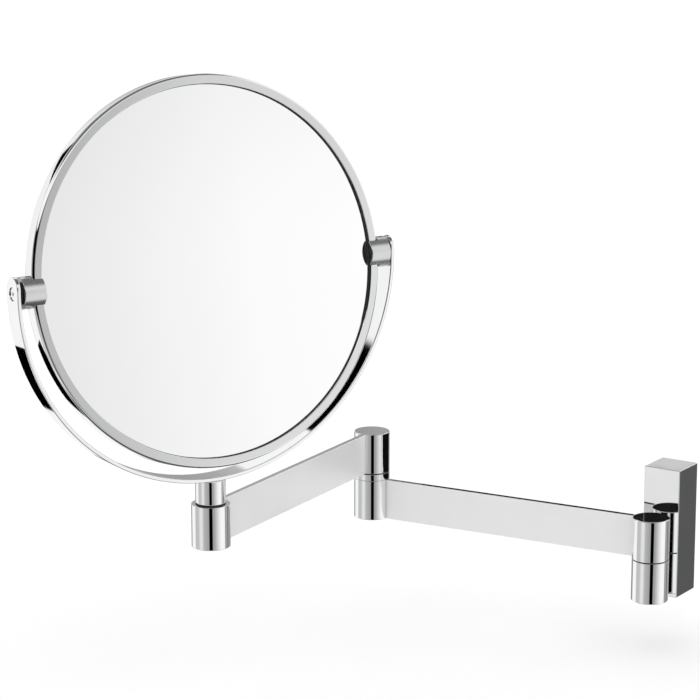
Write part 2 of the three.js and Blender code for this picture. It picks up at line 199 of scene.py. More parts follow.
def skin(name, grid, close_u=False, close_v=False):
    """A mesh over a grid of points of shape (u, v, 3): a quad for each cell, and a row more where it closes."""
    nu, nv = grid.shape[:2]
    u, v = np.meshgrid(np.arange(nu - (not close_u)), np.arange(nv - (not close_v)), indexing="ij")
    corners = [(u, v), (u + 1, v), (u + 1, v + 1), (u, v + 1)]
    quads = np.stack([(a % nu) * nv + b % nv for a, b in corners], -1).reshape(-1, 4)
    mesh = bpy.data.meshes.new(name)
    mesh.from_pydata(grid.reshape(-1, 3).tolist(), [], quads.tolist())
    bm = bmesh.new()
    bm.from_mesh(mesh)
    bpy.data.meshes.remove(mesh)
    return finish_mesh(bm, name)


def add(name, mesh):
    obj = bpy.data.objects.new(name, mesh)
    bpy.context.scene.collection.objects.link(obj)
    return obj


def fillet(corners, steps=5, hold=0.04 * MM):
    """A profile through (r, z, radius) corners. A corner with a radius becomes an arc tangent to both sides.
    A point just before and after each arc or corner keeps the sides beside it flat in shading."""
    corners = [tuple(c) + (0.0,) * (3 - len(c)) for c in corners]
    out = [np.array(corners[0][:2])]
    for before, here, after in zip(corners[:-2], corners[1:-1], corners[2:]):
        p, a, b = np.array(here[:2]), np.array(before[:2]), np.array(after[:2])
        to_a, to_b = unit(a - p), unit(b - p)
        half = np.arccos(np.clip(to_a @ to_b, -1, 1)) / 2
        radius = here[2]
        reach = radius / np.tan(half) if radius else 0.0
        room = 0.5 * min(np.linalg.norm(a - p), np.linalg.norm(b - p))
        spare = min(hold, max(room - reach, 0) * 0.5)
        out.append(p + to_a * (reach + spare))
        if radius:
            centre = p + unit(to_a + to_b) * radius / np.sin(half)
            first, last = p + to_a * reach - centre, p + to_b * reach - centre
            sweep = np.pi - 2 * half
            for t in np.linspace(0, 1, steps + 1):
                from_first, from_last = np.sin((1 - t) * sweep), np.sin(t * sweep)
                out.append(centre + (first * from_first + last * from_last) / np.sin(sweep))
        else:
            out.append(p)
        out.append(p + to_b * (reach + spare))
    out.append(np.array(corners[-1][:2]))
    return np.array(out)


def turned(name, place, corners, steps=ROUND, level=None):
    """A profile of (radius, level) carried round the z axis: x = r cos t, y = r sin t, z = level."""
    profile = fillet(corners)
    angle = np.linspace(0, TAU, steps, endpoint=False)
    radius = np.maximum(profile[:, 0], 0)
    grid = np.stack([np.outer(np.cos(angle), radius), np.outer(np.sin(angle), radius),
                     np.tile(profile[:, 1], (steps, 1))], -1)
    if level is not None:
        grid[..., 2] = level(grid)
    return add(name, skin(name, place.carry(grid), close_u=True))


def ring_of(corners):
    """A tube's section, started in the middle of a side so that every corner has its fillet."""
    first, second = np.array(corners[0][:2]), np.array(corners[1][:2])
    middle = tuple((first + second) / 2)
    return [middle, *corners[1:], corners[0], middle]


def tube_corners(outer, inner, low, high, edge=0.1 * MM):
    return ring_of([(inner, low, edge), (outer, low, edge), (outer, high, edge), (inner, high, edge)])


def rounded_block(name, place, low, high, edge, bend=None):
    """A box with rounded edges. Its faces' points are drawn in to a box smaller by the edge radius, and each
    is put back that far along its own direction from there; bend may then move the points."""
    low, high = np.array(low, float), np.array(high, float)
    half = (high - low) / 2
    arc = np.tan(np.linspace(0, np.pi / 4, 5))
    lines = [np.unique(np.round(np.concatenate([
        -h + edge * (1 - arc), [-h + edge * 1.3, h - edge * 1.3], h - edge * (1 - arc),
        np.linspace(-h + edge, h - edge, 5)]), 9)) for h in half]
    lines = [np.unique(np.concatenate([line, [-h, h]])) for line, h in zip(lines, half)]
    bm = bmesh.new()
    for axis in range(3):
        a, b = [i for i in range(3) if i != axis]
        ga, gb = np.meshgrid(lines[a], lines[b], indexing="ij")
        for side in (-1, 1):
            grid = np.zeros(ga.shape + (3,))
            grid[..., a], grid[..., b], grid[..., axis] = ga, gb, side * half[axis]
            core = np.clip(grid, -(half - edge), half - edge)
            out = grid - core
            grid = core + edge * out / np.linalg.norm(out, axis=-1, keepdims=True)
            grid = grid + (low + high) / 2
            if bend is not None:
                grid = bend(grid)
            points = place.carry(grid)
            rows = [[bm.verts.new(p) for p in row] for row in points.tolist()]
            for i in range(len(rows) - 1):
                for j in range(len(rows[0]) - 1):
                    bm.faces.new((rows[i][j], rows[i + 1][j], rows[i + 1][j + 1], rows[i][j + 1]))
    return add(name, finish_mesh(bm, name))


def carve(obj, *cutters, operation="DIFFERENCE"):
    """Cuts the cutters out of obj, or joins them to it, and removes them."""
    for cutter in cutters:
        modifier = obj.modifiers.new("carve", "BOOLEAN")
        modifier.operation = operation
        modifier.solver = "EXACT"
        modifier.object = cutter
        graph = bpy.context.evaluated_depsgraph_get()
        mesh = bpy.data.meshes.new_from_object(obj.evaluated_get(graph))
        obj.modifiers.clear()
        obj.data = mesh
        bpy.data.objects.remove(cutter)
    bm = bmesh.new()
    bm.from_mesh(obj.data)
    bmesh.ops.remove_doubles(bm, verts=bm.verts, dist=1e-7)
    bm.to_mesh(obj.data)
    bm.free()
    shade(obj.data)
    return obj


def peg(place, radius, low, high, sides=48):
    """A plain cutter: a cylinder along the place's z axis, or a prism where it has few sides."""
    return turned("cutter", place, [(0, low), (radius, low), (radius, high), (0, high)], sides)


def along(place, axis, x=0.0, y=0.0, z=0.0):
    """A place at that local offset whose z axis points along the given local direction."""
    direction = place.carry(np.array(axis, float)) - place.origin
    side = UP if abs(unit(direction) @ UP) < 0.9 else place.x
    return Place(place.carry(np.array([x, y, z], float)), np.cross(side, direction), direction)


def outwards(level):
    """The place on the wall at that level whose z axis points into the room."""
    return along(AT_ORIGIN, TO_ROOM, z=level)


def hexagon(place, across, low, high):
    return peg(place, across / np.sqrt(3), low, high, sides=6)


def threaded(name, place, head, shank_r, low, high, pitch, depth, tip=0.0, steps=48):
    """A screw along z. Below the head its radius is the shank's less a saw wave of the level over the pitch
    minus the turn, so the crest climbs one pitch a turn. The saw fades out at both ends, the radius may taper
    to a tip, and the head is a turned profile."""
    rows = int((high - low) / pitch * 8)
    angle = np.linspace(0, TAU, steps, endpoint=False)[:, None]
    level = np.linspace(low, high, rows)[None, :]
    saw = np.abs(((level / pitch - angle / TAU) % 1) * 2 - 1)
    fade = np.clip(np.minimum(level - low, high - level) / pitch, 0, 1)
    taper = np.clip((level - low) / max(tip, 1e-9), 0.12, 1) if tip else 1.0
    radius = (shank_r - depth * (1 - saw) * fade) * taper
    head_profile = fillet(head)
    head_r = np.broadcast_to(head_profile[:, 0], (steps, len(head_profile)))
    head_z = np.broadcast_to(head_profile[:, 1], (steps, len(head_profile)))
    r = np.concatenate([np.zeros((steps, 1)), radius, np.maximum(head_r, 0)], 1)
    z = np.concatenate([np.full((steps, 1), low), np.broadcast_to(level, radius.shape), head_z], 1)
    grid = np.stack([r * np.cos(angle), r * np.sin(angle), z], -1)
    return add(name, skin(name, place.carry(grid), close_u=True))


# ------------------------------------------------------------------ materials
class Socket:
    """A shader value that adds its own Math nodes when it is used in a Python expression."""

    def __init__(self, sheet, link):
        self.sheet, self.link = sheet, link

    def _math(self, operation, *values):
        return self.sheet.node("ShaderNodeMath", dict(operation=operation), *values)

    def __add__(self, other): return self._math("ADD", self, other)
    def __radd__(self, other): return self._math("ADD", self, other)
    def __sub__(self, other): return self._math("SUBTRACT", self, other)
    def __rsub__(self, other): return self._math("SUBTRACT", other, self)
    def __mul__(self, other): return self._math("MULTIPLY", self, other)
    def __rmul__(self, other): return self._math("MULTIPLY", self, other)
    def __truediv__(self, other): return self._math("DIVIDE", self, other)
    def __rtruediv__(self, other): return self._math("DIVIDE", other, self)

    def function(self, operation, *others):
        """Any other Math operation, such as ABSOLUTE, with this value as its first."""
        return self._math(operation, self, *others)

    def output(self, name):
        """Another output of the node that gave this value."""
        return Socket(self.sheet, self.link.node.outputs[name])

    def smooth(self, low, high):
        """0 below low, 1 above high, and a smooth step between them."""
        return self.sheet.node("ShaderNodeMapRange", dict(interpolation_type="SMOOTHSTEP"), self, low, high)

    def band(self, low, high, soft):
        """1 between low and high, fading to 0 over soft at both ends."""
        return self.smooth(low - soft, low + soft) * (1 - self.smooth(high - soft, high + soft))


class Sheet:
    """A node tree that is written as expressions."""

    def __init__(self, tree):
        self.tree = tree
        tree.nodes.clear()

    def node(self, kind, settings=None, *values, out=0, **named):
        made = self.tree.nodes.new(kind)
        for key, value in (settings or {}).items():
            setattr(made, key, value)
        for place, value in [*enumerate(values), *named.items()]:
            socket = made.inputs[place.replace("_", " ") if isinstance(place, str) else place]
            if isinstance(value, Socket):
                self.tree.links.new(value.link, socket)
            else:
                socket.default_value = value
        return Socket(self, made.outputs[out] if made.outputs else None)

    def ramp(self, value, stops):
        made = self.node("ShaderNodeValToRGB", None, value)
        element = made.link.node.color_ramp.elements
        for spare in range(len(element) - 1):
            element.remove(element[-1])
        for i, (place, shade_of) in enumerate(stops):
            e = element[0] if i == 0 else element.new(place)
            e.position = place
            e.color = (shade_of, shade_of, shade_of, 1)
        return made


def material(name, build):
    """A material. Build gets the sheet and the Object coordinates, and returns the shader's sockets."""
    made = bpy.data.materials.new(name)
    made.use_nodes = True
    sheet = Sheet(made.node_tree)
    where = sheet.node("ShaderNodeTexCoord", None, out="Object")
    shader = sheet.node("ShaderNodeBsdfPrincipled", None, **build(sheet, where))
    sheet.node("ShaderNodeOutputMaterial", None, shader)
    return made


def noise(sheet, where, scale, detail=3.0, rough=0.5):
    return sheet.node("ShaderNodeTexNoise", None, Vector=where, Scale=scale, Detail=detail, Roughness=rough)


def stretched(sheet, where, scale, turn=(0, 0, 0)):
    return sheet.node("ShaderNodeMapping", None, Vector=where, Scale=scale, Rotation=turn)


def bump(sheet, height, strength, distance):
    return sheet.node("ShaderNodeBump", None, Strength=strength, Distance=distance, Height=height)


def tint(sheet, factor, dark, light):
    """The colour between dark and light at that factor."""
    return sheet.node("ShaderNodeMix", dict(data_type="RGBA"), factor, out="Result",
                      A=(*dark, 1), B=(*light, 1))


def chrome(sheet, where):
    """Bright plate: near-mirror, with faint wiping haze and a trace of orange peel."""
    haze = noise(sheet, where, 60.0, 4.0).smooth(0.35, 0.75)
    peel = noise(sheet, where, 900.0, 2.0)
    return dict(Base_Color=tint(sheet, haze, (0.90, 0.905, 0.91), (0.93, 0.93, 0.93)), Metallic=1.0,
                Roughness=0.03 + haze * 0.025, Normal=bump(sheet, peel, 0.02, 0.00002))


def satin_lip(sheet, where):
    """Bright plate, but for the flat lip round the glass, which is a little greyer and softer."""
    haze = noise(sheet, where, 60.0, 4.0).smooth(0.35, 0.75)
    outward = sheet.node("ShaderNodeTexCoord", None, out="Normal")
    forward = sheet.node("ShaderNodeVectorMath", dict(operation="DOT_PRODUCT"), outward, tuple(mirror_face),
                         out="Value")
    lip = forward.smooth(0.90, 0.98)
    return dict(Base_Color=tint(sheet, lip, (0.925, 0.925, 0.925), (0.70, 0.705, 0.71)), Metallic=1.0,
                Roughness=0.03 + haze * 0.02 + lip * 0.07)


def satin_bar(sheet, where):
    """Fine lengthwise polishing lines on a bar's flat sides; its narrow top and bottom are left bright."""
    grain = noise(sheet, stretched(sheet, where, (40.0, 40.0, 6000.0)), 1.0, 5.0, 0.6)
    haze = noise(sheet, where, 45.0, 4.0).smooth(0.3, 0.8)
    outward = sheet.node("ShaderNodeTexCoord", None, out="Normal")
    upward = sheet.node("ShaderNodeSeparateXYZ", None, outward, out="Z").function("ABSOLUTE")
    side = 1 - upward.smooth(0.5, 0.9)
    return dict(Base_Color=tint(sheet, haze, (0.93, 0.93, 0.935), (0.96, 0.96, 0.96)),
                Metallic=1 - side * 0.6,
                Roughness=0.05 + side * (0.33 + haze * 0.03 + grain * 0.03),
                Normal=bump(sheet, grain, 0.04, 0.00002))


def satin_boss(sheet, where):
    """Blasted and lightly polished castings, greyer and softer than the plate around them."""
    grain = noise(sheet, where, 1500.0, 3.0)
    haze = noise(sheet, where, 80.0, 4.0).smooth(0.3, 0.8)
    return dict(Base_Color=tint(sheet, haze, (0.70, 0.705, 0.71), (0.76, 0.76, 0.76)), Metallic=1.0,
                Roughness=0.24 + haze * 0.05, Normal=bump(sheet, grain, 0.04, 0.00002))


def mirror_glass(sheet, where):
    """Silvered glass: a perfect reflector with the faintest wiping marks."""
    haze = noise(sheet, where, 14.0, 5.0).smooth(0.55, 0.85)
    return dict(Base_Color=tint(sheet, haze, (0.965, 0.968, 0.967), (0.972, 0.973, 0.973)), Metallic=1.0,
                Roughness=0.004 + haze * 0.01)


def turned_steel(sheet, where):
    lines = noise(sheet, stretched(sheet, where, (500.0, 500.0, 9000.0)), 1.0, 4.0)
    return dict(Base_Color=tint(sheet, lines, (0.50, 0.51, 0.52), (0.64, 0.65, 0.66)), Metallic=1.0,
                Roughness=0.25 + lines * 0.15, Normal=bump(sheet, lines, 0.15, 0.00005))


def zinc_plate(sheet, where):
    spangle = noise(sheet, where, 420.0, 4.0, 0.6)
    stain = noise(sheet, where, 60.0, 3.0)
    return dict(Base_Color=tint(sheet, spangle, (0.46, 0.48, 0.50), (0.62, 0.63, 0.62)), Metallic=1.0,
                Roughness=0.34 + stain * 0.18, Normal=bump(sheet, spangle, 0.12, 0.00006))


def brass(sheet, where):
    lines = noise(sheet, stretched(sheet, where, (400.0, 400.0, 8000.0)), 1.0, 4.0)
    return dict(Base_Color=tint(sheet, lines, (0.62, 0.45, 0.20), (0.74, 0.57, 0.29)), Metallic=1.0,
                Roughness=0.25 + lines * 0.15, Normal=bump(sheet, lines, 0.15, 0.00005))


def black_nylon(sheet, where):
    grain = noise(sheet, where, 2500.0, 3.0)
    return dict(Base_Color=tint(sheet, grain, (0.012, 0.012, 0.013), (0.022, 0.022, 0.023)),
                Roughness=0.42 + grain * 0.15, Normal=bump(sheet, grain, 0.2, 0.00004))


def seal_rubber(sheet, where):
    grain = noise(sheet, where, 1800.0, 4.0)
    return dict(Base_Color=tint(sheet, grain, (0.018, 0.018, 0.018), (0.035, 0.035, 0.034)),
                Roughness=0.65 + grain * 0.2, Normal=bump(sheet, grain, 0.25, 0.00005))


FINISHES = {
    "polished_chrome": material("polished_chrome", chrome),
    "satin_bar": material("satin_bar", satin_bar),
    "satin_lip": material("satin_lip", satin_lip),
    "satin_boss": material("satin_boss", satin_boss),
    "mirror_glass": material("mirror_glass", mirror_glass),
    "screw_steel": material("screw_steel", turned_steel),
    "zinc_plate": material("zinc_plate", zinc_plate),
    "brass_bush": material("brass_bush", brass),
    "black_nylon": material("black_nylon", black_nylon),
    "seal_rubber": material("seal_rubber", seal_rubber),
}
slot_of = {row["node"]: row["material_slot"] for row in frame["record"]["subparts"]}
body_of = {node: body for body, nodes in frame["record"]["behaviour"]["bodies"].items() for node in nodes}


def stands_for(obj, node, finish=None):
    """The piece takes the node's place: its body, its slot and its finish."""
    obj.data.materials.clear()
    obj.data.materials.append(FINISHES[finish or slot_of[node]])
    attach(obj, body_of[node])
    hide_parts(node)
    return obj


# ------------------------------------------------------------------ wall bracket
def block_cover():
    """A shell open towards the wall, with holes for the knuckle's bolt and for its own grub screw below."""
    low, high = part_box("block_cover")
    cover = rounded_block("cover", AT_ORIGIN, low, high, BLOCK_EDGE)
    inside = rounded_block("cutter", AT_ORIGIN,
                           (low.x + BLOCK_WALL, low.y + BLOCK_FRONT, low.z + BLOCK_WALL),
                           (high.x - BLOCK_WALL, high.y + BLOCK_WALL, high.z - BLOCK_WALL), BLOCK_EDGE)
    bolt = peg(outwards(knuckle_level), BOLT_R + CLEAR, -low.y - BLOCK_FRONT - OVERRUN, -low.y + OVERRUN)
    grub = peg(AT_COVER_GRUB, GRUB_R + CLEAR, low.z - OVERRUN, low.z + BLOCK_WALL + OVERRUN)
    stands_for(carve(cover, inside, bolt, grub), "block_cover")

    low, high = bottom("cover_grub_screw"), top("cover_grub_screw")
    grub = peg(AT_COVER_GRUB, GRUB_R, low, high)
    grub.name = "cover_grub"
    key = hexagon(AT_COVER_GRUB, GRUB_KEY, low - OVERRUN, low + 1.4 * MM)
    stands_for(carve(grub, key), "cover_grub_screw")


def knuckle_bolt():
    """A socket screw from inside the block into the lower knuckle. Its own z axis points at its head."""
    low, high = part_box("knuckle_bolt")
    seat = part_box("block_cover")[0].y + BLOCK_FRONT + CLEAR
    end, crown, head_r = low.y, high.y, (high.x - low.x) / 2
    inward = along(outwards(knuckle_level), (0, 0, -1))
    head = [(BOLT_R, seat - 1.2 * MM), (BOLT_R, seat, 0.1 * MM), (head_r, seat, 0.2 * MM),
            (head_r, crown, 0.4 * MM), (0, crown)]
    bolt = threaded("knuckle_bolt_fine", inward, head, BOLT_R, end, seat - 1.4 * MM, 0.8 * MM, 0.35 * MM)
    stands_for(carve(bolt, hexagon(inward, BOLT_KEY, crown - 1.8 * MM, crown + OVERRUN)), "knuckle_bolt")


def wall_plate():
    """A steel plate with two countersunk holes, and its cross-recessed screws with coarse pointed threads."""
    low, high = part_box("wall_plate")
    plate = rounded_block("plate", AT_ORIGIN, low, high, 0.4 * MM)
    nodes = ("wall_screw_upper", "wall_screw_lower")
    screws = {node: outwards((bottom(node) + top(node)) / 2) for node in nodes}
    thick, hole_r = -low.y, SCREW_R + CLEAR
    sink = [(0, -OVERRUN), (hole_r, -OVERRUN), (hole_r, thick - hole_r), (2 * hole_r, thick),
            (2 * hole_r, thick + OVERRUN), (0, thick + OVERRUN)]
    sinks = [turned("cutter", at, sink, SMALL_ROUND) for at in screws.values()]
    stands_for(carve(plate, *sinks), "wall_plate")

    head, arm, slit = thick - CLEAR, 1.6 * MM, 0.4 * MM
    profile = [(SCREW_R * 0.8, head - 2.2 * SCREW_R), (SCREW_R * 0.8, head - SCREW_R * 1.2),
               (2 * SCREW_R, head - 0.1 * MM, 0.05 * MM), (1.9 * SCREW_R, head, 0.05 * MM), (0, head)]
    for node, at in screws.items():
        screw = threaded(node + "_fine", at, profile, SCREW_R, -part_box(node)[1].y, head - 2.4 * SCREW_R,
                         1.8 * MM, 0.8 * MM, tip=4 * MM)
        cross = [rounded_block("cutter", along(at, (0, 0, 1)), (-x, -y, head - arm), (x, y, head + OVERRUN),
                               0.1 * MM) for x, y in ((arm, slit), (slit, arm))]
        stands_for(carve(screw, *cross), node)


def sink_corners(low):
    """A countersunk hole that opens downwards at a knuckle's low end, as corners from its rim inwards."""
    hole_r = SCREW_R + CLEAR
    return [(2 * hole_r, low, 0.1 * MM), (hole_r, low + hole_r), (hole_r, low + FLOOR),
            (PIN_R + CLEAR, low + FLOOR)]


def pinned_knuckle(name, place, node):
    """The knuckle that holds a pin: closed below but for its screw, with the pin's bore open above."""
    low, high = bottom(node), top(node) + SEAM_CLOSE
    rim, *hole = sink_corners(low)
    corners = [rim, (KNUCKLE_R, low, KNUCKLE_FILLET), (KNUCKLE_R, high, SEAM_FILLET),
               (PIN_R + CLEAR, high, BORE_FILLET), *reversed(hole)]
    return turned(name, place, ring_of(corners))


def grub_hole(place, level, end):
    return peg(along(place, (0, 1, 0), z=level), GRUB_R + CLEAR, MM, end)


def bushed_knuckle(name, place, node, grub_level, open_above=False):
    """The knuckle that turns on a pin: a blind bore for its bush, and a cross hole for its grub screw."""
    low, high = bottom(node), top(node)
    mouth, floor, closed = (high, low + FLOOR, low) if open_above else (low - SEAM_CLOSE, high - FLOOR, high)
    corners = [(0, closed), (KNUCKLE_R, closed, KNUCKLE_FILLET), (KNUCKLE_R, mouth, SEAM_FILLET),
               (BUSH_R + CLEAR, mouth, BORE_FILLET), (BUSH_R + CLEAR, floor), (0, floor)]
    return carve(turned(name, place, corners), grub_hole(place, grub_level, KNUCKLE_R + OVERRUN))


def hinge_pin(name, place, node, groove_level):
    """A pin with a threaded hole at its foot and a groove for the grub screw."""
    low, high = bottom(node), top(node)
    thread_end = low + PIN_THREAD
    groove_low, groove_high = groove_level - GROOVE_HALF, groove_level + GROOVE_HALF
    corners = [(0, thread_end), (SCREW_R + CLEAR, thread_end), (SCREW_R + CLEAR, low), (PIN_R, low, 0.2 * MM),
               (PIN_R, groove_low, 0.05 * MM), (PIN_R - GROOVE, groove_low, 0.1 * MM),
               (PIN_R - GROOVE, groove_high, 0.1 * MM), (PIN_R, groove_high, 0.05 * MM),
               (PIN_R, high, 0.6 * MM), (0, high)]
    stands_for(turned(name, place, corners, SMALL_ROUND), node)


def pin_screw(name, place, node):
    low, high = bottom(node), top(node)
    down = along(place, (0, 0, -1))
    head = -low
    profile = [(SCREW_R, head - SCREW_R - 0.3 * MM), (SCREW_R, head - SCREW_R),
               (2 * SCREW_R, head - 0.1 * MM, 0.05 * MM), (1.9 * SCREW_R, head, 0.05 * MM), (0, head)]
    screw = threaded(name, down, profile, SCREW_R, -high, head - SCREW_R - 0.5 * MM, 0.7 * MM, 0.3 * MM)
    stands_for(carve(screw, hexagon(down, PIN_SCREW_KEY, head - 1.5 * MM, head + OVERRUN)), node)


def washer(name, place, node):
    corners = tube_corners(size(node)[0] / 2, PIN_R + 2 * CLEAR, bottom(node), top(node), 0.08 * MM)
    stands_for(turned(name, place, corners), node)


def bush(name, place, node, grub_level):
    tube = turned(name, place, tube_corners(BUSH_R, PIN_R + CLEAR / 2, bottom(node), top(node)), SMALL_ROUND)
    stands_for(carve(tube, grub_hole(place, grub_level, KNUCKLE_R)), node)


def grub(name, place, node, level):
    out = along(place, (0, 1, 0), z=level)
    tip, end = PIN_R - GROOVE + CLEAR, KNUCKLE_R - 0.4 * MM
    profile = [(GRUB_R, end - 0.3 * MM), (GRUB_R, end, 0.15 * MM), (0, end)]
    screw = threaded(name, out, profile, GRUB_R, tip, end - 0.4 * MM, 0.5 * MM, 0.2 * MM, steps=36)
    stands_for(carve(screw, hexagon(out, GRUB_KEY, end - 1.6 * MM, end + OVERRUN)), node)


def flat_bar(name, start, end, node):
    """A flat bar between two knuckles. Its ends are drawn in to meet them: by R - sqrt(R^2 - y^2)."""
    length = np.linalg.norm(end - start)
    place = Place(start, end - start, UP)
    reach = KNUCKLE_R - SEAT

    def meet(points):
        sag = reach - np.sqrt(reach**2 - points[..., 1]**2)
        x = points[..., 0]
        near_end = x > length / 2
        at_end = np.minimum(x, length - x) < reach + 0.6 * MM
        points[..., 0] = np.where(at_end, x + np.where(near_end, sag, -sag), x)
        return points

    low, high = (reach, -BAR_HALF, bottom(node)), (length - reach, BAR_HALF, top(node))
    stands_for(rounded_block(name, place, low, high, 0.25 * MM, meet), node, "satin_bar")


def wall_hinge():
    """The lower knuckle, which a neck joins to the block, and the knuckle, pin and small parts above it."""
    knuckle = pinned_knuckle("lower_knuckle", AT_WALL, "wall_knuckle_lower")
    neck_start, neck_end = 6 * MM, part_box("block_cover")[0].y - wall_axis[1]
    back = along(AT_WALL, (0, 1, 0), z=knuckle_level)
    neck = peg(back, NECK_R, neck_start, neck_end - CLEAR, SMALL_ROUND)
    carve(knuckle, neck, operation="UNION")
    bore = peg(back, BOLT_R + CLEAR, PIN_R / 2, neck_end + OVERRUN)
    stands_for(carve(knuckle, bore), "wall_knuckle_lower")
    level = bottom("rear_wall_knuckle") + BUSH_LENGTH / 2
    hinge_pin("wall_pin", AT_WALL, "wall_hinge_pin", level)
    pin_screw("wall_pin_screw_fine", AT_WALL, "wall_pin_screw")
    washer("wall_washer", AT_WALL, "wall_thrust_washer")
    knuckle = bushed_knuckle("upper_wall_knuckle", REAR_ARM, "rear_wall_knuckle", level)
    stands_for(knuckle, "rear_wall_knuckle")
    bush("wall_bush", REAR_ARM, "wall_hinge_bush", level)
    grub("wall_grub", REAR_ARM, "wall_hinge_grub", level)


def elbow():
    flat_bar("rear_bar_fine", wall_axis, elbow_axis, "rear_bar")
    stands_for(pinned_knuckle("elbow_lower_knuckle", AT_ELBOW, "rear_elbow_knuckle"), "rear_elbow_knuckle")
    low, high = bottom("elbow_collar"), top("elbow_collar") + SEAM_CLOSE
    collar = turned("collar", AT_ELBOW, tube_corners(KNUCKLE_R, PIN_R + CLEAR, low, high, SEAM_FILLET))
    stands_for(collar, "elbow_collar")
    level = bottom("front_elbow_knuckle") + BUSH_LENGTH / 2
    hinge_pin("elbow_pin_fine", AT_ELBOW, "elbow_pin", level)
    pin_screw("elbow_pin_screw_fine", AT_ELBOW, "elbow_pin_screw")
    washer("elbow_washer", AT_ELBOW, "elbow_thrust_washer")
    knuckle = bushed_knuckle("elbow_upper_knuckle", FRONT_ARM, "front_elbow_knuckle", level)
    stands_for(knuckle, "front_elbow_knuckle")
    bush("elbow_bush_fine", FRONT_ARM, "elbow_bush", level)
    grub("elbow_grub_fine", FRONT_ARM, "elbow_grub", level)
    flat_bar("front_bar_fine", elbow_axis, head_axis, "front_bar")


def post_socket():
    """The knuckle at the front arm's end, open above, with the nylon bush whose flange shows as a line."""
    stands_for(bushed_knuckle("socket", AT_POST, "post_socket", post_level, open_above=True), "post_socket")
    grub("post_grub_fine", AT_POST, "post_grub", post_level)
    low, high, seat = bottom("post_bush"), top("post_bush") - 0.15 * MM, top("post_socket") + SEAT
    bore_r, edge = PIN_R + CLEAR / 2, 0.1 * MM
    liner = turned("post_bush_fine", AT_POST, ring_of([
        (bore_r, low, edge), (BUSH_R, low, edge), (BUSH_R, seat), (POST_R, seat, edge),
        (POST_R, high, edge), (bore_r, high, edge)]))
    stands_for(carve(liner, grub_hole(AT_POST, post_level, KNUCKLE_R)), "post_bush")


def post():
    """A turned post with a grooved spigot. Its top is hollowed to the strap: above the foot each level rises
    in proportion by R - sqrt(R^2 - x^2), with R the strap's outer radius."""
    foot, spigot, brim = top("post_bush") - 0.1 * MM, bottom("post"), pivot[2] - STRAP_R
    groove_low, groove_high = post_level - GROOVE_HALF, post_level + GROOVE_HALF
    rivet_r, rivet_end = SCREW_R + CLEAR, brim - RIVET_LENGTH

    def saddle(grid):
        lift = STRAP_R - np.sqrt(STRAP_R**2 - grid[..., 0]**2)
        above = np.clip((grid[..., 2] - foot) / (brim - foot), 0, 1)
        return grid[..., 2] + lift * above

    corners = [(0, spigot), (PIN_R, spigot, 0.3 * MM), (PIN_R, groove_low), (PIN_R - GROOVE, groove_low),
               (PIN_R - GROOVE, groove_high), (PIN_R, groove_high), (PIN_R, foot), (POST_R, foot, 0.25 * MM),
               (POST_R, brim, 0.1 * MM), (rivet_r, brim), (rivet_r, rivet_end), (0, rivet_end)]
    at = Place(head_axis, pivot_line, UP)
    stands_for(turned("post_fine", at, corners, level=saddle), "post")


# ------------------------------------------------------------------ yoke
def strap_path(steps=240):
    """The strap's middle line in the yoke's plane by arc length s: a half circle with a short straight up from
    each end. Returns points (x, z), the outward normals, and the distance to the nearer tip."""
    radius = STRAP_R - STRAP_THICK / 2
    total = np.pi * radius + 2 * STRAP_TIP
    tip_steps = STRAP_HALF * (1 - np.cos(np.linspace(0, np.pi / 2, 14)))
    between = np.linspace(STRAP_HALF, total - STRAP_HALF, steps)[1:-1]
    s = np.concatenate([tip_steps, between, total - tip_steps[::-1]])
    turn = np.clip((s - STRAP_TIP) / radius, 0, np.pi)
    spare = np.where(s < STRAP_TIP, STRAP_TIP - s, np.maximum(s - STRAP_TIP - np.pi * radius, 0))
    x, z = -radius * np.cos(turn), -radius * np.sin(turn) + spare
    return np.stack([x, z], -1), np.stack([-np.cos(turn), -np.sin(turn)], -1), np.minimum(s, total - s)


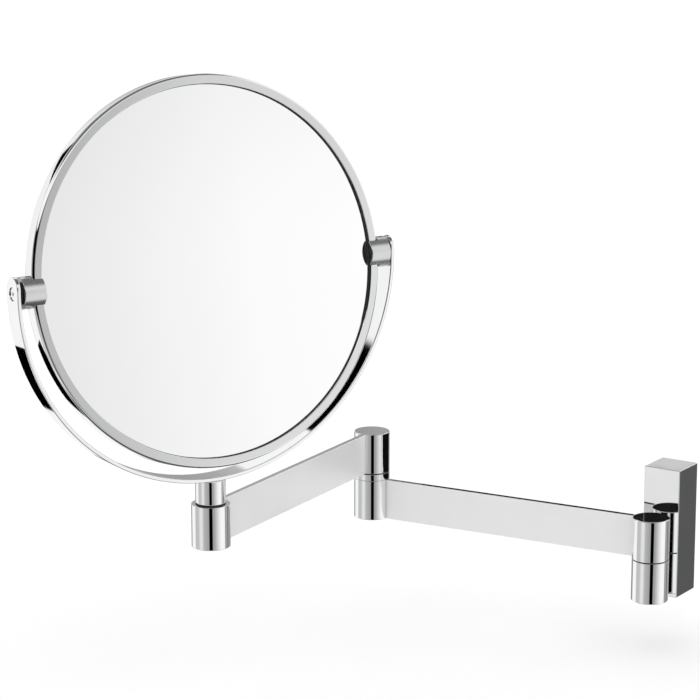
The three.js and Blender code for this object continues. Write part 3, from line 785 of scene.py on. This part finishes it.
def yoke_strap():
    """A flat section with round edges carried along the strap's path. Its half width is the strap's own, and
    within that distance of a tip it follows a half circle: w = sqrt(R^2 - (R - s)^2)."""
    middle, outward, to_tip = strap_path()
    edge = 0.45 * MM
    short = np.clip(STRAP_HALF - to_tip, 0, STRAP_HALF)
    width = np.sqrt(np.maximum(STRAP_HALF**2 - short**2, 1e-14))
    quarter = np.linspace(0, np.pi / 2, 6)
    flat = 0.04 * MM
    rows = []
    for sx, sz, start in ((1, 1, 0), (-1, 1, 1), (-1, -1, 2), (1, -1, 3)):
        a = quarter + start * np.pi / 2
        rows.append((sx, sz, np.cos(a), np.sin(a)))
    sections = []
    half_thick = STRAP_THICK / 2
    for w in width:
        e = min(edge, w)
        ring = []
        for sx, sz, c, s in rows:
            cx, cz = sx * (w - e), sz * (half_thick - edge)
            arc = np.stack([cx + e * c, cz + edge * s], -1)
            if sx * sz > 0:
                arc = np.concatenate([arc, [[arc[-1, 0] - sx * min(flat, w - e), arc[-1, 1]]]])
            else:
                arc = np.concatenate([[[arc[0, 0] - sx * min(flat, w - e), arc[0, 1]]], arc])
            ring.append(arc)
        sections.append(np.concatenate(ring))
    sections = np.array(sections)
    out = sections[..., 1:2]
    grid = np.zeros(sections.shape[:2] + (3,))
    grid[..., 0] = middle[:, None, 0] + outward[:, None, 0] * out[..., 0]
    grid[..., 2] = middle[:, None, 1] + outward[:, None, 1] * out[..., 0]
    grid[..., 1] = sections[..., 0]
    strap = add("strap", skin("strap", YOKE.carry(grid), close_v=True))
    for side in (1, -1):
        at = along(YOKE, (side, 0, 0))
        seat, past = STRAP_R - PIVOT_SINK - PIVOT_HEAD - CLEAR, 5 * MM
        carve(strap, peg(at, SCREW_R + 1.5 * CLEAR, STRAP_R - past, STRAP_R + past),
              peg(at, PIVOT_HEAD_R + CLEAR, seat, STRAP_R + past))
    inner, under = STRAP_THICK - STRAP_R, 2 * STRAP_THICK
    hole_r = SCREW_R + CLEAR
    sink_r = 2 * hole_r
    sink = [(0, inner - under), (hole_r, inner - under), (hole_r, inner - hole_r), (sink_r, inner),
            (sink_r, inner + OVERRUN), (0, inner + OVERRUN)]
    stands_for(carve(strap, turned("cutter", YOKE, sink, SMALL_ROUND)), "yoke_strap")

    # The rivet is polished flush with the strap's inner face, so its top is hollowed with it.
    def flush(grid):
        depth, face_r = 0.5 * MM, STRAP_R - STRAP_THICK
        near_top = np.clip((grid[..., 2] - inner + depth) / depth, 0, 1)
        return grid[..., 2] + (face_r - np.sqrt(face_r**2 - grid[..., 0]**2)) * near_top

    end, rim_r = inner - RIVET_LENGTH, sink_r - SEAT
    top_face = [(sink_r * share, inner) for share in (0.8, 0.6, 0.4, 0.2)]
    corners = [(0, end), (SCREW_R, end, 0.4 * MM), (SCREW_R, inner - hole_r), (rim_r, inner - SEAT),
               (rim_r, inner), *top_face, (0, inner)]
    stands_for(turned("rivet", YOKE, corners, SMALL_ROUND, level=flush), "yoke_rivet")


# ------------------------------------------------------------------ mirror head
def disc_corners(low, high, edge):
    return [(0, low), (GLASS_R, low, edge), (GLASS_R, high, edge), (0, high)]


def mirror_ring():
    """The ring with its front lip, the retaining ring behind, and between them two glasses, a core and a seal
    whose black bead, lining the lip's inner wall, is painted shade.
    The magnifying side's level is hollowed by the sag times 1 - s^2, with s the share of its radius."""
    soft, edge = 1.6 * MM, 0.25 * MM
    groove = RING_HALF - LIP_THICK
    rebate = RING_R - RING_WALL
    ring = turned("ring", HEAD, ring_of([
        (rebate, -RING_HALF, 0.15 * MM), (RING_R, -RING_HALF, soft), (RING_R, RING_HALF - LIP_FALL, soft),
        (SIGHT_R, RING_HALF, edge), (SIGHT_R, groove, 0.1 * MM), (rebate, groove)]), FULL_ROUND)
    stands_for(ring, "mirror_ring", "satin_lip")
    section = tube_corners(rebate - CLEAR, SIGHT_R, -RING_HALF, -groove, edge)
    stands_for(turned("rear_ring", HEAD, section, FULL_ROUND), "rear_retaining_ring")

    face = groove - CLEAR / 2
    glass = turned("plain_glass", HEAD, disc_corners(face - GLASS_THICK, face, 0.3 * MM), DISC_ROUND)
    stands_for(glass, "front_glass")
    core_top = face - GLASS_THICK - 0.1 * MM
    core_low = core_top - 0.6 * MM
    core = turned("core", HEAD, disc_corners(core_low, core_top, 0.1 * MM), DISC_ROUND)
    stands_for(core, "core_disc")
    lens_top = core_low - 0.1 * MM
    bowl = [(GLASS_R * s, -face + LENS_SAG * (1 - s * s)) for s in np.linspace(0, 1, 33)[:-1]]
    lens = [*bowl, *disc_corners(-face, lens_top, 0.2 * MM)[1:]]
    stands_for(turned("magnifier", HEAD, lens, DISC_ROUND), "magnifying_glass")

    section = tube_corners(rebate - CLEAR, GLASS_R + CLEAR, -face, face, 0.2 * MM)
    seal = turned("seal", HEAD, section, DISC_ROUND)
    # Painted shade: a thin black bead lines the lip's inner wall above the front glass and stands in for the
    # recess wall's dark line.
    rim = SIGHT_R - SEAT
    section = tube_corners(rim, rim - 0.3 * MM, face + SEAT, face + 0.75 * MM)
    carve(seal, turned("bead", HEAD, section, FULL_ROUND), operation="UNION")
    stands_for(seal, "glass_seal")


def pivots():
    """On each side a boss that clasps the ring, a friction disc inside the strap, and the screw through both."""
    disc_thick, hole_r = 0.8 * MM, SCREW_R + CLEAR
    outer = STRAP_R - STRAP_THICK - disc_thick - 3 * CLEAR
    inner = SIGHT_R - 0.8 * MM
    thread_end = RING_R + 3 * CLEAR
    crown = STRAP_R - PIVOT_SINK
    seat = crown - PIVOT_HEAD
    slot_r, slot_half = RING_R + CLEAR, RING_HALF + CLEAR
    head = [(SCREW_R, outer - 0.2 * MM), (SCREW_R, seat, 0.1 * MM), (PIVOT_HEAD_R, seat, 0.1 * MM),
            (PIVOT_HEAD_R, crown, 0.2 * MM), (0, crown)]
    for side, word in ((1, "right"), (-1, "left")):
        at = along(HEAD, (side, 0, 0))
        boss = turned(word + "_clasp", at, [(0, inner), (BOSS_R, inner, 0.5 * MM), (BOSS_R, outer, 0.3 * MM),
                                            (0, outer)])
        slot = turned("cutter", HEAD, [(0, -slot_half), (slot_r, -slot_half), (slot_r, slot_half),
                                       (0, slot_half)], FULL_ROUND)
        stands_for(carve(boss, slot, peg(at, hole_r, thread_end, outer + OVERRUN)), word + "_boss", "satin_boss")
        section = tube_corners(STRAP_HALF - 0.5 * MM, SCREW_R + 1.5 * CLEAR, outer + CLEAR,
                               outer + CLEAR + disc_thick)
        disc = turned(word + "_friction_disc", along(YOKE, (side, 0, 0)), section)
        stands_for(disc, word + "_pivot_washer")
        screw = threaded(word + "_screw", at, head, SCREW_R, thread_end + CLEAR, outer - 0.3 * MM, 0.7 * MM,
                         0.3 * MM)
        dimple = turned("cutter", at, [(0, crown - 0.6 * MM), (0.9 * MM, crown - 0.6 * MM, 0.2 * MM),
                                       (1.1 * MM, crown + OVERRUN), (0, crown + OVERRUN)], SMALL_ROUND)
        stands_for(carve(screw, dimple), word + "_pivot_screw")


# ------------------------------------------------------------------ studio
CAMERA_BEARING = 33.3  # degrees round to the right of the wall's normal
CAMERA_DIP = 12.73  # degrees down
CAMERA_FOCAL = 3.857  # focal length over picture width
CAMERA_PLACE = (0.6296, -1.2858, 0.4177)
SENSOR = 36  # mm
DAYLIGHT = 1.08
# Each stop is a height and the brightness there.
HEIGHTS = [(-90, 0.10), (-52, 0.10), (-42, 0.95), (42, 1.0), (54, 0.12), (90, 0.20)]
# Each row is (bearing, brightness) stops with the heights they lie between and the softness of those bounds.
WALLS = [
    ([(-180, 0.95), (-122, 1.0), (-104, 1.0), (-98, 0.55), (-74, 0.58), (-64, 0.82), (-50, 0.82),
      (-40, 0.50), (-7.5, 0.36), (-6.5, 0.0), (12.5, 0.0), (13.5, 0.36), (23, 0.38), (64, 1.0), (93, 1.0),
      (95, 0.36), (117, 0.36), (118, 0.10), (124, 0.10), (125, 0.36), (160, 0.33), (176, 0.95)],
     -38.0, -19.0, 1.0),
    ([(-180, 0.30), (-142, 0.30), (-138, 1.0), (-104, 1.0), (-98, 0.55), (-74, 0.58), (-64, 0.82),
      (-50, 0.82), (-40, 0.50), (-7.5, 0.36), (-6.5, 0.0), (12.5, 0.0), (13.5, 0.36), (23, 0.38), (64, 1.0),
      (93, 1.0), (95, 0.36), (117, 0.36), (118, 0.10), (124, 0.10), (125, 0.36), (180, 0.30)],
     -20.0, -8.5, 1.0),
    ([(-180, 0.35), (-152, 0.9), (-104, 1.0), (-98, 0.5), (-60, 0.3), (-50, 0.0), (22, 0.0), (27, 0.2),
      (47, 0.68), (57, 0.82), (62, 1.0), (65, 1.03), (120, 1.0), (150, 0.66), (175, 0.66), (180, 0.33)],
     -8.5, 24.0, 1.0),
]
# Each row is a left and right bearing, the heights over which the wall falls off there, and the share kept.
SHADES = [(40.0, 110.0, 3.0, 9.0, 0.90)]
# Each row is a panel's left and right bearing, its lower and upper height, and its brightness.
PANELS = [(-151.5, -129.5, -38.0, -22.8, 0.0), (-147.0, -117.0, 13.5, 40.0, 0.0),
          (166.5, 181.0, 15.4, 34.0, 0.01), (-70.0, -50.0, 13.0, 21.0, 0.01)]


def sky():
    """White all round, except in what polished metal reflects. There the room is laid out in degrees, by
    bearing from the camera's own side and by height: each panel in turn is laid over what is behind it."""
    world = bpy.data.worlds.new("studio")
    bpy.context.scene.world = world
    world.use_nodes = True
    sheet = Sheet(world.node_tree)
    ray = sheet.node("ShaderNodeTexCoord", None, out="Generated")
    split = sheet.node("ShaderNodeSeparateXYZ", None, ray)
    x, y, z = (split.output(name) for name in "XYZ")
    height = z.function("ARCSINE") * (180 / np.pi)
    bearing = x.function("ARCTAN2", y * -1.0) * (180 / np.pi)
    bearing = (bearing - CAMERA_BEARING).function("WRAP", 180.0, -180.0)

    def wall(stops):
        return sheet.ramp((bearing + 180) / 360, [(place / 360 + 0.5, value) for place, value in stops])

    value = sheet.ramp((height + 90) / 180, [(place / 180 + 0.5, value) for place, value in HEIGHTS])
    for stops, low, high, soft in WALLS:
        over = height.band(low, high, soft)
        value = value + (wall(stops) - value) * over
    for left, right, low, high, kept in SHADES:
        value = value * (1 - bearing.band(left, right, 4.0) * height.smooth(low, high) * (1 - kept))
    for left, right, low, high, panel in PANELS:
        over = bearing.band(left, right, 0.8) * height.band(low, high, 0.1)
        value = value + (panel - value) * over
    glossy = sheet.node("ShaderNodeLightPath", None, out="Is Glossy Ray")
    strength = DAYLIGHT + (value - DAYLIGHT) * glossy
    shade_of = sheet.node("ShaderNodeBackground", None, Color=(1, 1, 1, 1), Strength=strength)
    sheet.node("ShaderNodeOutputWorld", None, shade_of)


def sheet_through(name, corners):
    mesh = bpy.data.meshes.new(name)
    mesh.from_pydata(corners, [], [(0, 1, 2, 3)])
    return add(name, mesh)


def floor():
    """A pale floor a little below the arms. It takes their soft shadow, and polished metal doesn't show it."""
    half, level = 12.0, bottom("wall_knuckle_lower") - 30 * MM
    plane = sheet_through("floor", [(x * half, y * half, level) for x, y in ((-1, -1), (1, -1), (1, 1), (-1, 1))])

    def paper(sheet, where):
        grain = noise(sheet, where, 40.0, 4.0)
        return dict(Base_Color=tint(sheet, grain, (0.985, 0.985, 0.985), (1.0, 1.0, 1.0)), Roughness=0.9)

    plane.data.materials.append(material("paper", paper))
    plane.visible_glossy = False


def card():
    """A black card behind the rear bar. Only polished metal shows it: the elbow's upper knuckle along its right
    side, and the front bar as a soft darker end."""
    left, right, y = elbow_axis[0] + 12 * MM, wall_axis[0] - 30 * MM, -12 * MM
    low, high = bottom("rear_bar"), top("front_elbow_knuckle")
    black = sheet_through("card", [(left, y, low), (right, y, low), (right, y, high), (left, y, high)])

    def felt(sheet, where):
        grain = noise(sheet, where, 900.0, 3.0)
        return dict(Base_Color=tint(sheet, grain, (0.004, 0.004, 0.004), (0.008, 0.008, 0.008)),
                    Roughness=1.0, Specular_IOR_Level=0.0)

    black.data.materials.append(material("felt", felt))
    for kind in ("camera", "diffuse", "shadow", "transmission", "volume_scatter"):
        setattr(black, "visible_" + kind, False)


def camera():
    """A long lens, round to the right of the wall's normal and looking down at the mirror."""
    made = bpy.data.cameras.new("camera")
    made.sensor_width = SENSOR
    made.lens = CAMERA_FOCAL * SENSOR
    obj = bpy.data.objects.new("camera", made)
    bpy.context.scene.collection.objects.link(obj)
    obj.location = CAMERA_PLACE
    obj.rotation_mode = "XYZ"
    obj.rotation_euler = (np.radians(90 - CAMERA_DIP), 0, np.radians(CAMERA_BEARING))
    made.clip_start, made.clip_end = 0.05, 20
    bpy.context.scene.camera = obj


block_cover()
knuckle_bolt()
wall_plate()
wall_hinge()
elbow()
post_socket()
post()
yoke_strap()
mirror_ring()
pivots()
sky()
floor()
card()
camera()
bpy.context.scene.view_settings.view_transform = "Standard"
